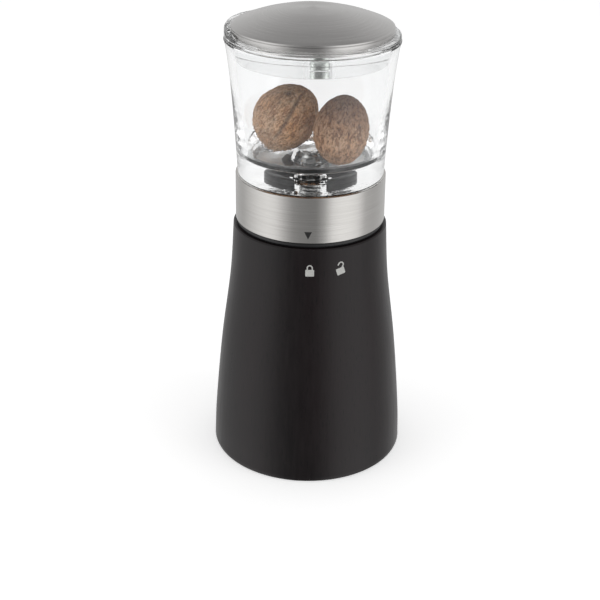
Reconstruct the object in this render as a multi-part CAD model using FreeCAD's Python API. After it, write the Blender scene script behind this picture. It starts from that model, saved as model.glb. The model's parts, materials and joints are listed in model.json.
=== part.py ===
import FreeCAD, Part
import math
import os

Vector = FreeCAD.Vector

# Driving dimensions, in millimetres. The mill stands on z = 0 and every turned piece is on the Z axis.
total_height = 160.0

# wooden body
base_radius = 33.8
wood_top_radius = 26.4
wood_height = 85.4
wood_edge = 0.8
foot_recess_radius = 26.5
foot_recess_height = 20.6
chamber_bore_radius = 19.0
socket_bore_radius = 23.6
socket_bore_floor = 76.0

# chamber and grater
liner_inner_radius = 17.6
liner_flange_height = 1.2
plate_radius = 22.4
plate_thickness = 0.6
tooth_radius = 1.45
tooth_hole_radius = 1.0
tooth_rings = ((4.4, 5), (9.2, 10), (14.0, 15))
ring_height = 5.0
ring_inner_radius = 17.2
ring_screw_circle = 24.0
ring_screw_radius = 1.3
ring_screw_head_radius = 2.1
ring_screw_head_height = 1.4
ring_screw_count = 3

# bayonet between body and head
unlock_angle = 24.5
lug_count = 3
lug_azimuth = -90.0
lug_half_angle = 11.0
slot_half_angle = 12.6
spigot_radius = 20.1
spigot_inner_radius = 18.2
lug_radius = 21.6
socket_inner_radius = 21.9
ledge_radius = 20.4
collar_radius = 25.2
collar_thickness = 1.5
ledge_thickness = 3.0
lug_thickness = 3.0
lug_clearance = 0.2
stop_angle = 4.0
stop_clearance_angle = 0.4

# head
band_radius = 25.6
band_thickness = 0.6
band_bottom = 87.2
band_top = 103.2
web_bottom = 88.0
web_top = 91.0
boss_radius = 11.0
boss_top = 97.0
bush_outer_radius = 7.0
bush_flange_radius = 10.5
bush_flange_thickness = 1.0
bush_bottom = 87.5
washer_thickness = 0.5
head_rib_count = 6

# spindle and drive hub
journal_radius = 4.0
running_gap = 0.05
square_across = 5.6
spindle_bottom = 56.0
clip_bottom = 86.6
clip_thickness = 0.6
clip_groove_radius = 3.6
clip_radius = 6.0
hex_across = 13.0
hex_thickness = 1.85
thread_radius = 3.9
hub_sleeve_radius = 8.6
hub_flange_radius = 10.5
hub_flange_thickness = 1.0
drive_plate_radius = 20.4
drive_plate_thickness = 1.0
key_inner_radius = 7.0
key_outer_radius = 10.2
key_half_gap = 4.1
key_top = 105.5
slip_ring_inner = 21.2
slip_ring_outer = 24.2
slip_ring_thickness = 0.55
seat_radius = 8.2
seat_thickness = 0.8

# clear hopper
hopper_bottom = 103.5
foot_radius = 24.9
floor_top = 107.2
floor_radius = 12.3
floor_edge_radius = 20.4
floor_edge_height = 110.5
wall_foot_radius = 22.5
wall_foot_height = 113.2
rim_top = 150.0
rim_radius = 29.2
mouth_radius = 26.7
slot_gap = 0.1
dome_boss_radius = 6.6
dome_boss_top = 111.4

# sprung claw carrier
press_travel = 21.5
carrier_radius = 12.0
carrier_bottom = 33.0
carrier_thickness = 3.0
stem_radius = 5.3
stem_top_gap = 0.3
square_gap = 0.1
claw_count = 4
claw_azimuth = 45.0
claw_width = 4.0
claw_thickness = 0.8
claw_radius = 13.8
claw_tip_radius = 12.0
claw_tip = 22.7
rivet_radius = 0.9
spring_wire_radius = 0.45
spring_radius = 6.6
spring_turns = 9

# lid
lid_edge_radius = 26.9
lid_edge_height = 154.0
lid_edge_round = 0.4
sheet_thickness = 0.7
tray_floor_thickness = 0.3
tray_rim_height = 1.5
tray_rim_radius = 29.0
plug_radius = 26.1
plug_bottom_radius = 25.1
plug_bottom = 143.2
lid_seat_gap = 0.05
lip_height = 2.3
lip_direction = 155.0
lip_half_angle = 50.0
stud_offset = 1.6
stud_radius = 3.3
stud_hole_radius = 3.5
stud_stem_radius = 2.2


def curve(*points):
    """Smooth stretch of an outline through the given (radius, height) points."""
    return "curve", points


def arc(middle, end):
    """Round stretch of an outline through middle to end."""
    return "arc", (middle, end)


def at(point):
    return Vector(point[0], 0, point[1])


def outline_face(outline):
    """Face in the XZ plane. Plain points are joined by lines, and curve or arc starts at the point before."""
    edges = []
    last = outline[0]
    for step in outline[1:] + outline[:1]:
        if step[0] == "curve":
            spline = Part.BSplineCurve()
            spline.interpolate([at(last)] + [at(point) for point in step[1]])
            edges.append(spline.toShape())
            last = step[1][-1]
        elif step[0] == "arc":
            middle, end = step[1]
            edges.append(Part.Arc(at(last), at(middle), at(end)).toShape())
            last = end
        else:
            edges.append(Part.makeLine(at(last), at(step)))
            last = step
    return Part.Face(Part.Wire(edges))


def turned(outline, start=0.0, angle=360.0):
    """Outline revolved about the Z axis, from start and over angle, in degrees."""
    face = outline_face(outline)
    if start:
        face.rotate(Vector(0, 0, 0), Vector(0, 0, 1), start)
    return face.revolve(Vector(0, 0, 0), Vector(0, 0, 1), angle)


def ring(inner, outer, low, high, start=0.0, angle=360.0):
    return turned([(inner, low), (outer, low), (outer, high), (inner, high)], start, angle)


def cylinder(radius, low, high, x=0.0, y=0.0):
    return Part.makeCylinder(radius, high - low, Vector(x, y, low))


def prism(corners, low, high):
    """Upright prism over (x, y) corners."""
    points = [Vector(x, y, low) for x, y in corners]
    return Part.Face(Part.makePolygon(points + points[:1])).extrude(Vector(0, 0, high - low))


def polygon_corners(count, across_flats):
    """Corners of a regular polygon with a flat towards the front."""
    radius = across_flats / 2 / math.cos(math.pi / count)
    turns = [math.pi * (2 * index + 1) / count for index in range(count)]
    return [(radius * math.sin(turn), -radius * math.cos(turn)) for turn in turns]


def around(shape, count, first=0.0):
    """Copies of a shape turned evenly about the Z axis."""
    copies = []
    for index in range(count):
        copy = shape.copy()
        copy.rotate(Vector(0, 0, 0), Vector(0, 0, 1), first + 360.0 * index / count)
        copies.append(copy)
    return copies


def around_at(shape, radius, count, first=0.0):
    """Copies of a shape moved out to a radius and turned evenly about the Z axis."""
    moved = shape.copy()
    moved.translate(Vector(radius, 0, 0))
    return around(moved, count, first)


def save(name, shape):
    shape.exportStep(os.path.join("parts", name + ".step"))
    print(name, shape.ShapeType, len(shape.Solids), round(shape.Volume, 1), shape.isValid())


# The wooden bell, bored through, with counterbores for the bayonet socket and for the grater.
def wood_body():
    return turned([
        (foot_recess_radius, 0),
        (base_radius - wood_edge, 0),
        arc((base_radius - 0.3 * wood_edge, 0.3 * wood_edge), (base_radius, wood_edge)),
        curve((33.2, 14), (30.9, 40), (27.6, 66), (wood_top_radius, wood_height - 0.4)),
        (wood_top_radius - 0.4, wood_height),
        (socket_bore_radius, wood_height),
        (socket_bore_radius, socket_bore_floor),
        (chamber_bore_radius, socket_bore_floor),
        (chamber_bore_radius, foot_recess_height),
        (foot_recess_radius, foot_recess_height),
    ])


# Tube that guides the nutmeg, hung by its flange on the floor of the socket's counterbore.
def chamber_liner():
    flange_top = socket_bore_floor + liner_flange_height
    return turned([
        (liner_inner_radius, foot_recess_height),
        (chamber_bore_radius, foot_recess_height),
        (chamber_bore_radius, socket_bore_floor),
        (socket_bore_radius, socket_bore_floor),
        (socket_bore_radius, flange_top),
        (liner_inner_radius + 0.8, flange_top),
        (liner_inner_radius, flange_top - 0.8),
    ])


# Female half of the bayonet: a sleeve with ledges that the lugs turn under, slots between them to let
# the lugs in, and a stop at each end of the turn. Its collar shows as a thin ring above the wood.
def bayonet_socket():
    bottom = socket_bore_floor + liner_flange_height
    top = wood_height + collar_thickness
    sleeve = turned([
        (socket_inner_radius, bottom),
        (socket_bore_radius, bottom),
        (socket_bore_radius, wood_height),
        (collar_radius - 0.3, wood_height),
        arc((collar_radius, (wood_height + top) / 2), (collar_radius - 0.3, top)),
        (socket_inner_radius, top),
    ])
    ledge_bottom = top - ledge_thickness
    pitch = 360.0 / lug_count
    slot_end = unlock_angle + slot_half_angle
    ledge = ring(ledge_radius, socket_inner_radius, ledge_bottom, top, slot_end, pitch - 2 * slot_half_angle)
    lock_stop = -lug_half_angle - stop_clearance_angle - stop_angle
    open_stop = unlock_angle + lug_half_angle + stop_clearance_angle
    pieces = around(ledge, lug_count, lug_azimuth)
    for side in (lock_stop, open_stop):
        stop = ring(ledge_radius, socket_inner_radius, bottom, ledge_bottom, side, stop_angle)
        pieces += around(stop, lug_count, lug_azimuth)
    return sleeve.fuse(pieces).removeSplitter()


# Punched teeth: each is a quarter of a hollow ball over its own hole, open towards the turning nutmeg.
def grater_tooth(top):
    ball = Part.makeSphere(tooth_radius).cut(Part.makeSphere(tooth_hole_radius))
    quarter = Part.makeBox(2 * tooth_radius, tooth_radius, tooth_radius, Vector(-tooth_radius, 0, 0))
    tooth = ball.common(quarter)
    tooth.translate(Vector(0, 0, top))
    return tooth


def grater_plate():
    top = foot_recess_height
    bottom = top - plate_thickness
    plate = cylinder(plate_radius, bottom, top)
    holes = []
    teeth = []
    for ring_radius, count in tooth_rings:
        for tooth in around_at(grater_tooth(top), ring_radius, count):
            teeth.append(tooth)
        for hole in around_at(cylinder(tooth_hole_radius, bottom, top), ring_radius, count):
            holes.append(hole)
    return plate.cut(holes).fuse(teeth).removeSplitter()


# Retaining ring that clamps the plate from below, with a bell mouth for the gratings to fall through.
def grater_ring():
    bottom = foot_recess_height - ring_height
    plate_seat = foot_recess_height - plate_thickness
    body = turned([
        (ring_inner_radius + 2.0, bottom),
        (foot_recess_radius, bottom),
        (foot_recess_radius, foot_recess_height),
        (plate_radius, foot_recess_height),
        (plate_radius, plate_seat),
        (ring_inner_radius, plate_seat),
        (ring_inner_radius, plate_seat - 1.0),
    ])
    hole = cylinder(ring_screw_radius, bottom, foot_recess_height)
    sink = cylinder(ring_screw_head_radius + 0.2, bottom, ring_screw_seat())
    return body.cut(around_at(hole.fuse(sink), ring_screw_circle, ring_screw_count))


def ring_screw_seat():
    return foot_recess_height - ring_height + ring_screw_head_height + 0.1


# Screws with a cross recess in the head.
def ring_screws():
    seat = ring_screw_seat()
    head_bottom = seat - ring_screw_head_height
    shank = cylinder(ring_screw_radius, seat, foot_recess_height)
    screw = shank.fuse(cylinder(ring_screw_head_radius, head_bottom, seat))
    recess = Part.makeBox(2.4, 0.5, 0.7, Vector(-1.2, -0.25, head_bottom))
    screw = screw.cut(around(recess, 4))
    return Part.makeCompound(around_at(screw, ring_screw_circle, ring_screw_count))


# Male half of the bayonet and the bearing carrier: a cup inside the band, with a lugged spigot below.
# The first lug stands at the front, behind the pointer on the band.
def head_housing():
    wall = band_radius - band_thickness
    lug_top = wood_height + collar_thickness - ledge_thickness - lug_clearance
    spigot_bottom = lug_top - lug_thickness - 1.0
    cup = turned([
        (bush_outer_radius, bush_bottom),
        (boss_radius, bush_bottom),
        (boss_radius, web_bottom),
        (spigot_inner_radius, web_bottom),
        (spigot_inner_radius, spigot_bottom),
        (spigot_radius, spigot_bottom),
        (spigot_radius, web_bottom),
        (wall, web_bottom),
        (wall, band_top - band_thickness),
        (wall - 1.6, band_top - band_thickness),
        (wall - 1.6, web_top),
        (boss_radius, web_top),
        (boss_radius, boss_top),
        (bush_outer_radius, boss_top),
    ])
    lug = ring(spigot_radius - 0.5, lug_radius, lug_top - lug_thickness, lug_top,
               -lug_half_angle, 2 * lug_half_angle)
    rib = Part.makeBox(wall - 1.6 - boss_radius + 0.4, 1.4, boss_top - 1.0 - web_top,
                       Vector(boss_radius - 0.2, -0.7, web_top))
    pieces = around(lug, lug_count, lug_azimuth) + around(rib, head_rib_count)
    return cup.fuse(pieces).removeSplitter()


def steel_band():
    inner = band_radius - band_thickness
    lip = 1.0
    top_lip = 0.6
    edge = 0.25
    return turned([
        (inner - lip, band_bottom),
        (band_radius - edge, band_bottom),
        arc((band_radius - 0.3 * edge, band_bottom + 0.3 * edge), (band_radius, band_bottom + edge)),
        (band_radius, band_top - edge),
        arc((band_radius - 0.3 * edge, band_top - 0.3 * edge), (band_radius - edge, band_top)),
        (inner - top_lip, band_top),
        (inner - top_lip, band_top - band_thickness),
        (inner, band_top - band_thickness),
        (inner, band_bottom + band_thickness),
        (inner - lip, band_bottom + band_thickness),
    ])


def bearing_bush():
    bore = journal_radius + running_gap
    return turned([
        (bore, bush_bottom),
        (bush_outer_radius, bush_bottom),
        (bush_outer_radius, boss_top),
        (bush_flange_radius, boss_top),
        (bush_flange_radius, boss_top + bush_flange_thickness),
        (bore, boss_top + bush_flange_thickness),
    ])


def thrust_washer():
    bottom = boss_top + bush_flange_thickness
    return ring(journal_radius + 0.2, bush_flange_radius - 0.5, bottom, bottom + washer_thickness)


def hex_bottom():
    return boss_top + bush_flange_thickness + washer_thickness + running_gap


# Spindle: square end that drives the claw carrier, journal with a clip groove, hexagon that the hub is
# keyed to, and a threaded end in the hopper's boss.
def spindle():
    square_top = clip_bottom - 0.6
    thread_top = dome_boss_top - 1.6
    square = prism(polygon_corners(4, square_across), spindle_bottom, square_top)
    tip = Part.makeCone(square_across / 2, journal_radius + 1.0, 1.6, Vector(0, 0, spindle_bottom))
    tip = tip.fuse(cylinder(journal_radius + 1.0, spindle_bottom + 1.6, square_top))
    journal = turned([
        (0, square_top),
        (journal_radius, square_top),
        (journal_radius, clip_bottom),
        (clip_groove_radius, clip_bottom),
        (clip_groove_radius, clip_bottom + clip_thickness),
        (journal_radius, clip_bottom + clip_thickness),
        (journal_radius, hex_bottom()),
        (0, hex_bottom()),
    ])
    hexagon = prism(polygon_corners(6, hex_across), hex_bottom(), hex_bottom() + hex_thickness)
    thread = cylinder(thread_radius, hex_bottom() + hex_thickness, thread_top)
    return square.common(tip).fuse([journal, hexagon, thread]).removeSplitter()


# Split ring in the spindle's groove, under the bush. It keeps the hopper on the head.
def retaining_clip():
    return ring(clip_groove_radius, clip_radius, clip_bottom, clip_bottom + clip_thickness, 25, 310)


def spring_seat():
    top = clip_bottom
    hole = [(1.02 * x, 1.02 * y) for x, y in polygon_corners(4, square_across)]
    bottom = top - seat_thickness
    washer = cylinder(seat_radius, bottom, top)
    return washer.cut([prism(hole, bottom, top - 0.6), cylinder(journal_radius, top - 0.6, top)])


# Hub that ties the spindle's hexagon to the hopper. Two curved keys on its top stand up into slots in
# the hopper's foot, to the left and right of the spindle.
def drive_hub():
    top = hopper_bottom - 0.2
    plate_bottom = top - drive_plate_thickness
    body = turned([
        (thread_radius + 0.1, hex_bottom() + 0.1),
        (hub_sleeve_radius, hex_bottom() + 0.1),
        (hub_sleeve_radius, plate_bottom - hub_flange_thickness),
        (hub_flange_radius, plate_bottom - hub_flange_thickness),
        (hub_flange_radius, plate_bottom),
        (hub_sleeve_radius, plate_bottom),
        (hub_sleeve_radius, top),
        (thread_radius + 0.1, top),
    ])
    hexagon = prism(polygon_corners(6, hex_across), hex_bottom(), hex_bottom() + hex_thickness)
    return body.cut(hexagon).fuse(curved_keys(0.0, top)).removeSplitter()


def curved_keys(gap, bottom):
    """The two keys, or with a gap their slots, from bottom to their top."""
    high = key_top + gap
    band = ring(key_inner_radius - gap, key_outer_radius + gap, bottom, high)
    middle = key_half_gap - gap
    reach = key_outer_radius + 1.0
    between = Part.makeBox(2 * middle, 2 * reach, high - bottom, Vector(-middle, -reach, bottom))
    return band.cut(between)


# White plastic disc clamped between the hub's flange and the hopper's foot. It closes the head from above.
def drive_plate():
    top = hopper_bottom - 0.2
    return ring(hub_sleeve_radius, drive_plate_radius, top - drive_plate_thickness, top)


# Black slip ring on the head's rim, just under the hopper's foot.
def slip_ring():
    top = band_top - 0.05
    return ring(slip_ring_inner, slip_ring_outer, top - slip_ring_thickness, top)


# Clear hopper: flared wall, dished floor with a bevel up to the wall, and a thick foot with a blind hole
# for the spindle's thread under a domed boss, and slots for the hub's keys.
def clear_hopper():
    hole_top = dome_boss_top - 1.6
    dome_rise = dome_boss_top - floor_top
    body = turned([
        (0, hole_top),
        (thread_radius, hole_top),
        (thread_radius, hopper_bottom + 0.6),
        (thread_radius + 0.6, hopper_bottom),
        (foot_radius - 0.6, hopper_bottom),
        arc((foot_radius - 0.2, hopper_bottom + 0.2), (foot_radius, hopper_bottom + 0.6)),
        curve((25.35, 111.2), (26.2, 124), (27.25, 136.2), (28.45, 146), (rim_radius, rim_top - 0.5)),
        arc((rim_radius - 0.15, rim_top - 0.15), (rim_radius - 0.5, rim_top)),
        (mouth_radius, rim_top),
        curve((25.8, 143), (24.3, 128), (wall_foot_radius, wall_foot_height)),
        (floor_edge_radius, floor_edge_height),
        (floor_radius, floor_top),
        (dome_boss_radius, floor_top),
        curve((0.92 * dome_boss_radius, floor_top + 0.45 * dome_rise),
              (0.6 * dome_boss_radius, floor_top + 0.85 * dome_rise), (0, dome_boss_top)),
    ])
    return body.cut(curved_keys(slot_gap, hopper_bottom))


# A nutmeg is an egg: blunt at the stalk end, slightly pointed at the other.
def nutmeg(radius, half_length, lean, lean_direction, centre):
    seed = turned([
        (0, -half_length),
        curve((0.62 * radius, -0.82 * half_length), (radius, -0.12 * half_length),
              (0.68 * radius, 0.72 * half_length), (0, half_length)),
    ])
    tilt_axis = Vector(-math.sin(math.radians(lean_direction)), math.cos(math.radians(lean_direction)), 0)
    seed.rotate(Vector(0, 0, 0), tilt_axis, lean)
    seed.translate(Vector(*centre))
    return seed


# Sliding carrier: a plate for the claws and a stem whose square bore rides on the spindle. Its stem
# comes up to the spring seat at the end of the travel.
def claw_carrier():
    top = carrier_bottom + carrier_thickness
    stem_top = clip_bottom - seat_thickness - stem_top_gap - press_travel
    body = turned([
        (0, carrier_bottom),
        (carrier_radius, carrier_bottom),
        (carrier_radius, top - 0.8),
        (carrier_radius - 0.8, top),
        (stem_radius, top),
        (stem_radius, stem_top),
        (0, stem_top),
    ])
    bore = prism(polygon_corners(4, square_across + 2 * square_gap), carrier_bottom, stem_top)
    rivet_hole = cylinder(rivet_radius, carrier_bottom, top)
    return body.cut([bore] + around_at(rivet_hole, claw_rivet_radius(), claw_count, claw_azimuth))


def claw_rivet_radius():
    return carrier_radius - 3.4


# Claw: a steel strip riveted under the carrier, bent down and then inwards to a point.
def claw(index):
    top = carrier_bottom
    knee = top - 5.0
    strip = outline_polygon([
        (claw_rivet_radius() - 2.4, top),
        (claw_radius, top),
        (claw_radius, knee),
        (claw_tip_radius, claw_tip),
        (claw_tip_radius - 0.5, claw_tip + 0.8),
        (claw_radius - claw_thickness, knee + 0.3),
        (claw_radius - claw_thickness, top - claw_thickness),
        (claw_rivet_radius() - 2.4, top - claw_thickness),
    ])
    strip.translate(Vector(0, -claw_width / 2, 0))
    body = strip.extrude(Vector(0, claw_width, 0))
    point = prism_along_x([
        (-claw_width / 2, top),
        (claw_width / 2, top),
        (claw_width / 2, knee),
        (0.3, claw_tip),
        (-0.3, claw_tip),
        (-claw_width / 2, knee),
    ], 0.0, claw_radius + 1.0)
    hole = cylinder(rivet_radius, top - claw_thickness, top, claw_rivet_radius())
    body = body.common(point).cut(hole)
    body.rotate(Vector(0, 0, 0), Vector(0, 0, 1), claw_azimuth + 360.0 / claw_count * index)
    return body


def outline_polygon(points):
    corners = [Vector(x, 0, z) for x, z in points]
    return Part.Face(Part.makePolygon(corners + corners[:1]))


def prism_along_x(points, start, end):
    """Prism over (y, z) corners, from x = start to x = end."""
    corners = [Vector(start, y, z) for y, z in points]
    return Part.Face(Part.makePolygon(corners + corners[:1])).extrude(Vector(end - start, 0, 0))


def claw_rivets():
    top = carrier_bottom + carrier_thickness
    bottom = carrier_bottom - claw_thickness
    rivet = turned([
        (0, bottom - 0.6),
        (1.0, bottom - 0.6),
        (1.6, bottom),
        (rivet_radius, bottom),
        (rivet_radius, top),
        (0, top),
    ])
    return Part.makeCompound(around_at(rivet, claw_rivet_radius(), claw_count, claw_azimuth))


# Compression spring round the stem, between the carrier and the spring seat.
def pusher_spring():
    low = carrier_bottom + carrier_thickness + spring_wire_radius
    high = clip_bottom - seat_thickness - 0.05 - spring_wire_radius
    pitch = (high - low) / spring_turns
    helix = Part.makeHelix(pitch, high - low, spring_radius)
    section = Part.Wire(Part.makeCircle(spring_wire_radius, Vector(spring_radius, 0, 0), Vector(0, 1, 0)))
    spring = Part.Wire(helix.Edges).makePipeShell([section], True, True)
    spring.translate(Vector(0, 0, low))
    return spring


def flange_bottom():
    return rim_top + lid_seat_gap


def tray_floor():
    return flange_bottom() + tray_floor_thickness


# Spun steel lid: a shallow dome with a turned-down skirt that stands in the clear plug's tray.
def lid_dome():
    inner_edge = lid_edge_radius - sheet_thickness
    inner_top = total_height - sheet_thickness
    shoulder = lid_edge_radius - lid_edge_round
    return turned([
        (0, total_height),
        curve((9.5, total_height - 0.75), (18.5, total_height - 2.85), (25.0, total_height - 5.15),
              (shoulder, lid_edge_height + 0.15)),
        arc((lid_edge_radius - 0.1, lid_edge_height - 0.1), (lid_edge_radius, lid_edge_height - 0.4)),
        (lid_edge_radius, tray_floor()),
        (inner_edge, tray_floor()),
        (inner_edge, lid_edge_height - 0.7),
        curve((18.0, inner_top - 2.75), (9.0, inner_top - 0.7), (0, inner_top)),
    ])


# Clear plug: the disc that fills the hopper's mouth, a shallow tray round it that takes the steel skirt,
# a thumb lip on one side of the tray's rim and a hole for the stud.
def lid_plug():
    bottom = flange_bottom()
    rim_high = bottom + tray_rim_height
    rim_inner = lid_edge_radius + 0.1
    plug = turned([
        (0, plug_bottom),
        (plug_bottom_radius - 0.5, plug_bottom),
        (plug_bottom_radius, plug_bottom + 0.5),
        (plug_radius, bottom),
        (tray_rim_radius, bottom),
        (tray_rim_radius, rim_high - 0.5),
        arc((tray_rim_radius - 0.15, rim_high - 0.15), (tray_rim_radius - 0.5, rim_high)),
        (rim_inner, rim_high),
        (rim_inner, tray_floor()),
        (0, tray_floor()),
    ])
    hole = cylinder(stud_hole_radius, plug_bottom, tray_floor(), stud_offset)
    return plug.cut(hole).fuse(thumb_lip(rim_high)).removeSplitter()


# The lip is a ring cut by a slanting plane, so that it rises and falls like a crescent.
def thumb_lip(top):
    inner = lid_edge_radius + 0.1
    outer = tray_rim_radius - 0.3
    rise = lip_height / (outer * (1 - math.cos(math.radians(lip_half_angle))))
    wall = turned([
        (inner, top - 0.2),
        (outer, top - 0.2),
        (outer, top + lip_height - 0.6),
        arc((outer - 0.2, top + lip_height - 0.1), (outer - 0.6, top + lip_height + 0.3)),
        (inner, top + lip_height + 0.3),
    ])
    start = outer * math.cos(math.radians(lip_half_angle))
    reach = 80.0
    above = Part.makeBox(reach, reach, reach, Vector(-reach / 2, -reach / 2, 0))
    above.rotate(Vector(0, 0, 0), Vector(0, 1, 0), -math.degrees(math.atan(rise)))
    above.translate(Vector(start, 0, top))
    beyond = Part.makeBox(reach, reach, reach, Vector(start, -reach / 2, top - reach / 2))
    lip = wall.cut(above).common(beyond)
    lip.rotate(Vector(0, 0, 0), Vector(0, 0, 1), lip_direction)
    return lip


# Stud welded under the dome by its stem. Its collar is pressed into the plug, so it holds the two together.
def lid_stud():
    bottom = plug_bottom + 0.1
    collar_top = tray_floor()
    top = total_height - sheet_thickness - 0.2
    return turned([
        (0, bottom),
        (stud_radius - 0.3, bottom),
        (stud_radius, bottom + 0.3),
        (stud_radius, collar_top - 1.0),
        (stud_hole_radius, collar_top - 1.0),
        (stud_hole_radius, collar_top),
        (stud_stem_radius, collar_top),
        (stud_stem_radius, top),
        (0, top),
    ]).translated(Vector(stud_offset, 0, 0))


os.makedirs("parts", exist_ok=True)
save("wood_body", wood_body())
save("chamber_liner", chamber_liner())
save("bayonet_socket", bayonet_socket())
save("grater_plate", grater_plate())
save("grater_ring", grater_ring())
save("ring_screws", ring_screws())
save("head_housing", head_housing())
save("steel_band", steel_band())
save("bearing_bush", bearing_bush())
save("thrust_washer", thrust_washer())
save("spindle", spindle())
save("retaining_clip", retaining_clip())
save("spring_seat", spring_seat())
save("drive_hub", drive_hub())
save("drive_plate", drive_plate())
save("slip_ring", slip_ring())
save("clear_hopper", clear_hopper())
save("nutmeg_left", nutmeg(11.0, 13.0, 45.0, 30.0, (-9.0, 5.8, 120.5)))
save("nutmeg_right", nutmeg(9.2, 12.3, 8.0, 30.0, (9.9, -5.6, 120.1)))
save("claw_carrier", claw_carrier())
for claw_index in range(claw_count):
    save("claw_%d" % (claw_index + 1), claw(claw_index))
save("claw_rivets", claw_rivets())
save("pusher_spring", pusher_spring())
save("lid_dome", lid_dome())
save("lid_plug", lid_plug())
save("lid_stud", lid_stud())
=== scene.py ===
import json
import math
import bpy
import bmesh
from mathutils import Matrix, Vector, noise


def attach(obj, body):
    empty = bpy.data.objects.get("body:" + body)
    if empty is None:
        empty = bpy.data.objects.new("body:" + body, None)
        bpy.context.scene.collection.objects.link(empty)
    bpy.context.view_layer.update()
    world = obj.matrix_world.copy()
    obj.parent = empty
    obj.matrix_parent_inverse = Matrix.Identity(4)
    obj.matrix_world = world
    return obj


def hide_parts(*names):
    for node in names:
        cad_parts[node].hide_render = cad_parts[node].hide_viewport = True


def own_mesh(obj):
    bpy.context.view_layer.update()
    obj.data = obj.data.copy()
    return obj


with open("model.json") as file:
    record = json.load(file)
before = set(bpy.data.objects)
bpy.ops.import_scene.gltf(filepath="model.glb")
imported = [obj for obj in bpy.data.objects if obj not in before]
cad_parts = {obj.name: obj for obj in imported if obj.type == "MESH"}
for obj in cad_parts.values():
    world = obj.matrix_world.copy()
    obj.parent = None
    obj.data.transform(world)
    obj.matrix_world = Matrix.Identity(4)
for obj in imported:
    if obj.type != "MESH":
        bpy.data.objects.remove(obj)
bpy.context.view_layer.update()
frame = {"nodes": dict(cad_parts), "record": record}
nodes = frame["nodes"]
mm = 0.001  # the shapes below are written in millimetres
near = 1e-6  # points closer together than this, in metres, are one point
sharpAngle = 35.0  # an edge that bends more than this, in degrees, stays sharp
roundSegments = 4  # of a rounded edge
runSteps = 10  # fine points between two given points of a smooth line

cameraSetup = {"distance": 0.410, "height": 0.2587, "pitch": 23.55, "roll": 0.9, "lens": 77.1,
               "sensor": 36.0, "shift": (-0.0162, -0.1118), "nearest": 0.01}


def makeCamera(setup):
    data = bpy.data.cameras.new("millCamera")
    data.lens = setup["lens"]
    data.sensor_width = setup["sensor"]
    data.shift_x, data.shift_y = setup["shift"]
    data.clip_start = setup["nearest"]
    camera = bpy.data.objects.new("millCamera", data)
    bpy.context.scene.collection.objects.link(camera)
    place = Matrix.Translation((0.0, -setup["distance"], setup["height"]))
    tilt = Matrix.Rotation(math.radians(90.0 - setup["pitch"]), 4, "X")
    camera.matrix_world = place @ tilt @ Matrix.Rotation(math.radians(setup["roll"]), 4, "Z")
    bpy.context.scene.camera = camera


makeCamera(cameraSetup)
bpy.context.scene.view_settings.view_transform = "Standard"
bounces = {"max_bounces": 24, "glossy_bounces": 16, "transmission_bounces": 20}  # for the thick clear parts
for key, value in bounces.items():
    setattr(bpy.context.scene.cycles, key, value)


def newMaterial(name):
    material = bpy.data.materials.new(name)
    material.use_nodes = True
    return material, material.node_tree, material.node_tree.nodes["Principled BSDF"]


def addNode(tree, kind, inputs=None, **settings):  # a socket in inputs is linked, anything else is set
    node = tree.nodes.new("ShaderNode" + kind)
    for key, value in settings.items():
        setattr(node, key, value)
    for key, value in (inputs or {}).items():
        if isinstance(value, bpy.types.NodeSocket):
            tree.links.new(value, node.inputs[key])
        else:
            node.inputs[key].default_value = value
    return node


def feed(tree, source, node, key):
    tree.links.new(source, node.inputs[key])


def calc(tree, operation, *values):
    return addNode(tree, "Math", dict(enumerate(values)), operation=operation).outputs[0]


def calcVector(tree, operation, *values):
    return addNode(tree, "VectorMath", dict(enumerate(values)), operation=operation).outputs[0]


def grey(level):
    return (level, level, level, 1.0)


def scaledPoint(tree, vector, scale):
    return addNode(tree, "Mapping", {"Vector": vector, "Scale": scale}).outputs["Vector"]


def objectPoint(tree, along=1.0):  # the object's own place, drawn out along Z where along is below 1
    return scaledPoint(tree, addNode(tree, "TexCoord").outputs["Object"], (1.0, 1.0, along))


def turnedPlace(tree):  # the point brought down to height 0, its distance from the axis, and its height
    point = addNode(tree, "TexCoord").outputs["Object"]
    flat = calcVector(tree, "MULTIPLY", point, (1.0, 1.0, 0.0))
    radius = addNode(tree, "VectorMath", {0: flat}, operation="LENGTH").outputs["Value"]
    return flat, radius, addNode(tree, "SeparateXYZ", {0: point}).outputs["Z"]


def noiseAt(tree, vector, scale, detail=4.0, roughness=0.55):
    return addNode(tree, "TexNoise", {"Vector": vector, "Scale": scale, "Detail": detail,
                                      "Roughness": roughness}).outputs["Fac"]


def mapped(tree, value, low, high, fromLow=0.3, fromHigh=0.7):
    return addNode(tree, "MapRange", {"Value": value, "From Min": fromLow, "From Max": fromHigh,
                                      "To Min": low, "To Max": high}).outputs["Result"]


def blended(tree, factor, first, second, kind="MIX"):
    return addNode(tree, "Mix", {0: factor, 6: first, 7: second}, data_type="RGBA", blend_type=kind).outputs[2]


def dress(tree, shader, colour, rough, relief=None, bump=(0.0, 0.0)):  # bump: (strength, depth in metres)
    feed(tree, colour, shader, "Base Color")
    feed(tree, rough, shader, "Roughness")
    if relief:
        node = addNode(tree, "Bump", {"Height": relief, "Strength": bump[0], "Distance": bump[1]})
        feed(tree, node.outputs["Normal"], shader, "Normal")


steelLook = {"along": 45.0, "across": 6500.0, "bandAcross": 0.22, "dark": (0.55, 0.535, 0.515, 1.0),
             "light": (0.68, 0.665, 0.645, 1.0), "band": 0.35, "rough": (0.17, 0.25),
             "bump": (0.25, 0.00002), "anisotropy": 0.80, "rotation": 0.25}
domeLook = dict(steelLook, dark=(0.52, 0.51, 0.50, 1.0), light=(0.63, 0.62, 0.61, 1.0), rough=(0.20, 0.28),
                bump=(0.15, 0.00002), anisotropy=0.70)


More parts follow.
